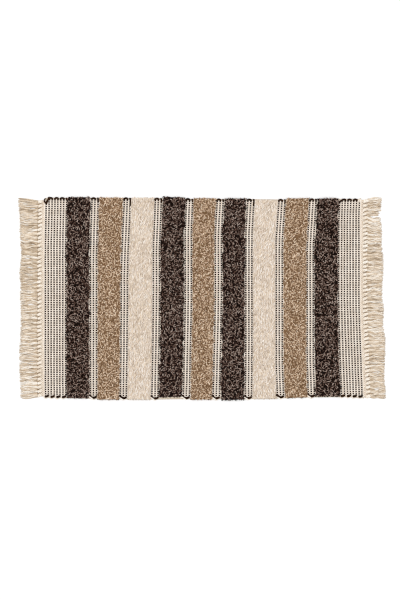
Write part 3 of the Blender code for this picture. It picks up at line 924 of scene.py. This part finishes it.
def build_end(sign, side):
    rng = np.random.default_rng(40 if sign < 0 else 41)
    n = TASSELS
    mid = T_MIDS[:, None]
    col = lambda lo, hi: rng.uniform(lo, hi, n)[:, None]
    # heading: cream picks packed tight over the warp
    y = Yarns()
    for k, x in enumerate(sign * np.array([391.6, 393.8, 396.0])):
        P = crossing(x, 700 + k + (10 if sign > 0 else 0), LOW, HIGH, k % 2 == 0)
        P[:, 2] = CLOTH_Z + (P[:, 2] - CLOTH_Z) * 0.8
        y.add(lay(P), 1.30, 1.12, sides=6,
              tone=0.22 + 0.2 * wobble(np.arange(len(P)), 60 + k, 12.0))
    y.piece("heading_%s_yarn" % side, m_cream, "heading_" + side)

    # each knot: a slanting bead of twisted warp ends with one wrap round it
    y = Yarns()
    R = 15
    s = np.linspace(0, 1, R)[None]
    x0 = 396.2 + col(-0.5, 0.5)
    x1 = x0 + (11.0 if sign < 0 else 12.5) + col(-1.0, 1.0)
    slant = 3.2 + col(-0.8, 0.8)
    axis = mid + sign * slant * (s - 0.35) + col(-0.5, 0.5)
    twist = col(0.35, 0.6)
    gather = np.clip(s / 0.22, 0, 1) * np.clip((1.15 - s) / 0.35, 0, 1)
    for q in range(5):
        a = TAU * (q / 5.0 + twist * s * sign) + col(-0.2, 0.2)
        flat_y = ((q + 0.5) / 5.0 - 0.5) * T_PITCH * 0.86
        X = x0 + (x1 - x0) * s
        Yk = axis + (1 - gather) * flat_y * 0.9 + gather * 2.35 * np.cos(a)
        Z = (1 - gather) * 2.1 + gather * (3.3 + 1.75 * np.sin(a))
        # painted highlight and shade: the bead's strands are coloured lighter over its top and darker low down
        y.add(lay(np.stack([sign * X, Yk, np.maximum(Z, 1.2)], -1)), 1.42, 1.3, sides=6,
              tone=0.66 + 0.18 * rng.uniform(-1, 1, (n, 1)) + 0.20 * gather * np.sin(a), turn=True)
    R = 14
    t = np.linspace(0, 1, R)[None]
    a = TAU * 1.15 * t + 3.6 + col(-0.5, 0.5)
    X = x0 + 4.6 + col(-0.5, 0.5) + 2.6 * t
    Yk = mid + sign * slant * 0.15 + 3.1 * np.cos(a)
    Z = 3.4 + 2.2 * np.sin(a)
    y.add(lay(np.stack([sign * X, Yk, np.maximum(Z, 1.1)], -1)), 1.15, 1.15, sides=6,
          tone=0.80 + 0.14 * rng.uniform(-1, 1, (n, 1)), turn=True)
    # shadowed ends that lie between and under the beads
    R = 8
    s = np.linspace(0, 1, R)[None]
    for q in range(3):
        X = 397.0 + 12.0 * s + 0.0 * mid
        Yk = mid + 0.5 * T_PITCH + (q - 1) * 1.7 + sign * 1.6 * (s - 0.3) + col(-0.3, 0.3)
        Z = 1.15 + 0.35 * np.sin(math.pi * s) + 0.0 * mid
        y.add(lay(np.stack([sign * X, Yk, Z], -1))[:-1], 1.0, 0.85, sides=6,
              tone=0.13 + 0.10 * rng.uniform(-1, 1, (n - 1, 1)))
    y.piece("knots_%s_yarn" % side, m_fringe, "knots_" + side)

    # tassels: each a bundle of loose wavy warp ends
    y = Yarns()
    R = 14
    s = np.linspace(0, 1, R)[None]
    lock = 2.6 * wobble(T_MIDS, 90 + int(sign), 47.0)[:, None] + col(-0.9, 0.9)
    reach = (448.2 + 3.5 * np.clip((mid - 205.0) / 40.0, 0, 1) if sign < 0 else 446.6 - 0.024 * mid
             + 5.0 * np.clip((mid - 205.0) / 40.0, 0, 1)) + 2.8 * wobble(
        T_MIDS, 95 + int(sign), 33.0)[:, None]
    width = col(0.80, 1.18) * (1.0 + 0.32 * np.clip((mid - 195.0) / 40.0, 0, 1))
    # the outer tassels spread past the body's corners
    fan = np.where(T_MIDS > 0, *((8.6, -2.4) if sign < 0 else (-1.4, 0.6)))[:, None] * np.clip(
        (np.abs(mid) - 205.0) / 40.0, 0, 1) ** 1.5
    wave_n, wave_p, wave_a = col(0.8, 1.5), col(0, 1), col(0.6, 1.7)
    # two places on the right where neighbouring tassels stand apart
    part = 0.0 * mid
    if sign > 0:
        for at, up, down, size in ((203.7, 4.2, 6.6, 13.0), (173.8, 1.6, 2.2, 8.0)):
            d = mid - at
            part = part + np.where(d > 0, up, -down) * np.exp(-np.abs(d) / size)
            width = width * (1.0 - 0.3 * np.exp(-(d / 8.0) ** 2))
        reach = reach - 4.0 * np.exp(-((mid - 207.5) / 4.0) ** 2)
    count = 16
    for q in range(count):
        under = q >= 9
        lane = ((q + 0.5) / 9.0 - 0.5) if not under else ((q - 9 + 0.5) / 7.0 - 0.5)
        spread = np.clip(s * 2.2, 0, 1) ** 0.9
        off0 = 3.6 * lane + col(-0.6, 0.6)
        off1 = lane * T_PITCH * 1.02 * width + col(-1.5, 1.5)
        if under:
            off0 = lane * T_PITCH * 0.95 + col(-0.5, 0.5)
            off1 = lane * T_PITCH * 1.15 + col(-0.8, 0.8)
        tip = reach + col(-2.2, 2.4) - 5.0 * (rng.uniform(0, 1, n)[:, None] > 0.86)
        X = 406.5 + (tip - 406.5) * s
        own = col(0.15, 0.8) * np.sin(TAU * (s * col(1.2, 2.8) + col(0, 1)))
        shared = wave_a * (np.sin(TAU * (s * wave_n + wave_p)) - np.sin(TAU * wave_p)) * spread
        Yt = (mid + sign * 2.6 * 0.45 + off0 * (1 - spread) + off1 * spread + own * spread
              + shared + lock * np.sin(math.pi * np.minimum(s * 0.9, 1.0)) + fan * s ** 1.1
              + part * s ** 2.2)
        if under:
            Z = 1.1 + 0.20 * np.sin(TAU * (s * 1.3 + col(0, 1)))
            r = col(1.05, 1.2) * (1.0 - 0.20 * s ** 3)
            # painted shade: the ends lying under the others are coloured darker
            tone = 0.30 + 0.12 * rng.uniform(-1, 1, (n, 1)) + 0.12 * s
        else:
            layer = 1.0 + (q % 3) * 0.75
            Z = (1.2 + layer * (1.0 - 0.35 * s) + 1.5 * (1 - spread) * (1.0 - abs(lane) * 1.6)
                 + 0.45 * np.sin(TAU * (s * 1.4 + col(0, 1))) * spread)
            r = col(0.74, 1.02) * (1.0 - 0.25 * s ** 3)
            tone = (col(0.16, 1.00) + 0.09 * wobble(T_MIDS, 130 + int(sign), 21.0)[:, None]
                    + 0.16 * np.sin(TAU * (s * col(0.7, 1.6) + col(0, 1))))
        Z = np.maximum(Z, 1.12 if under else 0.98)
        y.add(lay(np.stack([sign * X, Yt, Z], -1)), r, r * 0.92, sides=6, tone=np.clip(tone, 0, 1))
    y.piece("fringe_%s_yarn" % side, m_fringe, "fringe_" + side)


build_end(-1.0, "left")
build_end(1.0, "right")


# ------------------------------------------------------------ stage and light
def stage_material():
    m = bpy.data.materials.new("floor_white")
    m.use_nodes = True
    b = m.node_tree.nodes["Principled BSDF"]
    b.inputs["Base Color"].default_value = (0.92, 0.92, 0.92, 1.0)
    b.inputs["Roughness"].default_value = 0.9
    return m


me = bpy.data.meshes.new("floor")
me.from_pydata([(-60, -60, 0), (60, -60, 0), (60, 60, 0), (-60, 60, 0)], [], [(0, 1, 2, 3)])
floor = bpy.data.objects.new("floor", me)
me.materials.append(stage_material())
floor.location = (0, 0, -0.0002)
bpy.context.scene.collection.objects.link(floor)

scene = bpy.context.scene
scene.view_settings.view_transform = "Standard"
# the yarns are very fine in the frame, so the denoiser must not smooth them away
scene.cycles.denoising_prefilter = "NONE"
scene.cycles.filter_width = 1.25
world = bpy.data.worlds.new("studio")
scene.world = world
world.use_nodes = True
bg = world.node_tree.nodes["Background"]
bg.inputs["Color"].default_value = (1.0, 1.0, 1.0, 1.0)
bg.inputs["Strength"].default_value = 0.88


def area(name, loc, target, size, power):
    light = bpy.data.lights.new(name, "AREA")
    light.shape = "RECTANGLE"
    light.size, light.size_y = size
    light.energy = power
    ob = bpy.data.objects.new(name, light)
    ob.location = loc
    d = np.array(target, float) - np.array(loc, float)
    import mathutils
    ob.rotation_euler = mathutils.Vector(d).to_track_quat("-Z", "Y").to_euler()
    scene.collection.objects.link(ob)
    return ob


area("key", (-0.5, 0.8, 2.9), (0, 0, 0), (1.4, 1.4), 31.0)
area("fill", (1.6, -1.2, 2.6), (0, 0, 0), (2.0, 2.0), 8.5)

cam = bpy.data.cameras.new("camera")
cam.sensor_fit = "HORIZONTAL"
cam.sensor_width = 36.0
cam.lens = 100.0
camera = bpy.data.objects.new("camera", cam)
PX = 2.47 * MM
camera.location = (-2.15 * PX, -1.45 * PX, 400 * PX * cam.lens / cam.sensor_width + 0.004)
camera.rotation_euler = (0, 0, 0)
scene.collection.objects.link(camera)
scene.camera = camera
